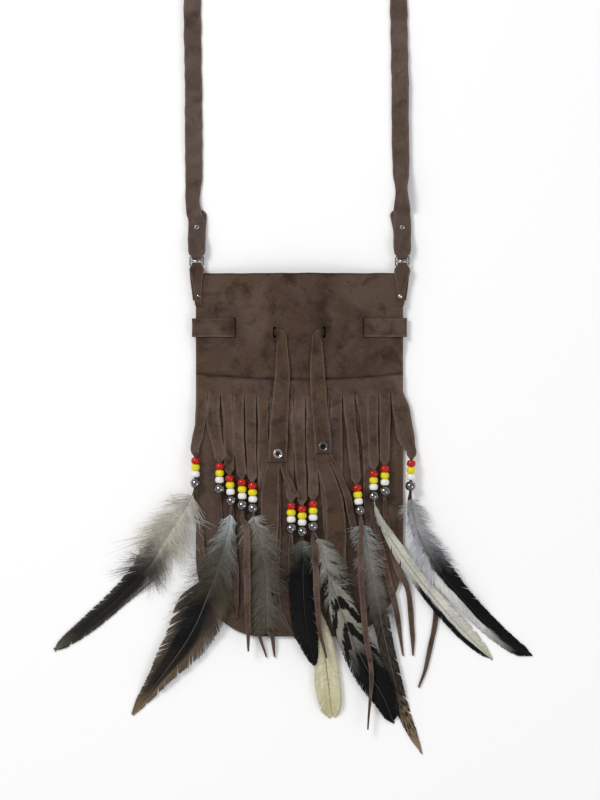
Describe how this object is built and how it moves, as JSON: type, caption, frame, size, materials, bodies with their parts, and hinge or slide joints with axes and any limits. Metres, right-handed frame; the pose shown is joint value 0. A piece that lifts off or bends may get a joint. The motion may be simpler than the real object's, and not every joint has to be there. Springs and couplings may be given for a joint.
{
  "type": "medicine bag",
  "caption": "Flat suede pouch lying on its back, with shoulder strap, drawstring with tassels, and beaded fringe with feathers.",
  "frame": {"origin": "on the pouch's back face, at the middle of the pouch's width and height; the bag lies on this face", "axes": "+Z out of the pouch's front, +Y from the bottom of the pouch to its mouth and on to the strap, +X to the right as seen from the front"},
  "size_m": [0.3613, 0.9224, 0.0223],
  "materials": {
    "suede": "napped, matte",
    "fittings": "polished",
    "balls": "polished",
    "bead_red": "glossy",
    "bead_yellow": "glossy",
    "bead_white": "glossy",
    "feather_grey": "soft vane",
    "feather_dark": "soft vane",
    "feather_down": "down",
    "feather_cream": "soft vane",
    "feather_black": "soft vane",
    "feather_barred": "barred vane",
    "feather_brown": "barred vane",
    "feather_white": "soft vane"
  },
  "bodies": {
    "root": {"back_panel": "suede", "front_panel": "suede", "fringe_panel": "suede", "drawstring": "suede", "tab_left": "suede", "tab_right": "suede", "tassel_left": "suede", "tassel_right": "suede", "tab_rivet_left": "fittings", "tab_rivet_right": "fittings", "eyelet_left": "fittings", "eyelet_right": "fittings", "bead_stack_1": "bead_red", "bead_stack_2": "bead_red", "bead_stack_3": "bead_red", "bead_stack_4": "bead_red", "bead_stack_5": "bead_red", "bead_stack_6": "bead_red", "bead_stack_7": "bead_red", "bead_stack_8": "bead_red", "bead_stack_9": "bead_red", "bead_stack_10": "bead_red", "bead_stack_11": "bead_red", "bead_stack_12": "bead_red", "ball_1": "balls", "ball_2": "balls", "ball_3": "balls", "ball_4": "balls", "ball_5": "balls", "ball_6": "balls", "ball_7": "balls", "ball_8": "balls", "ball_9": "balls", "ball_10": "balls", "ball_11": "balls", "ball_12": "balls", "feather_1": "feather_grey", "feather_2": "feather_dark", "feather_3": "feather_down", "feather_4": "feather_cream", "feather_5": "feather_black", "feather_6": "feather_barred", "feather_7": "feather_brown", "feather_8": "feather_white", "feather_9": "feather_black"},
    "links": {"ring_left": "fittings", "ring_right": "fittings"},
    "strap": {"strap": "suede", "strap_rivet_left": "fittings", "strap_rivet_right": "fittings"}
  },
  "joints": [
    {"name": "links_hinge", "type": "hinge", "parent": "root", "child": "links", "pos_m": [0, 0.142, 0.0047], "axis": [1, 0, 0], "range_deg": [0, 90]},
    {"name": "strap_hinge", "type": "hinge", "parent": "links", "child": "strap", "pos_m": [0, 0.149, 0.0047], "axis": [1, 0, 0], "range_deg": [0, 60]}
  ]
}
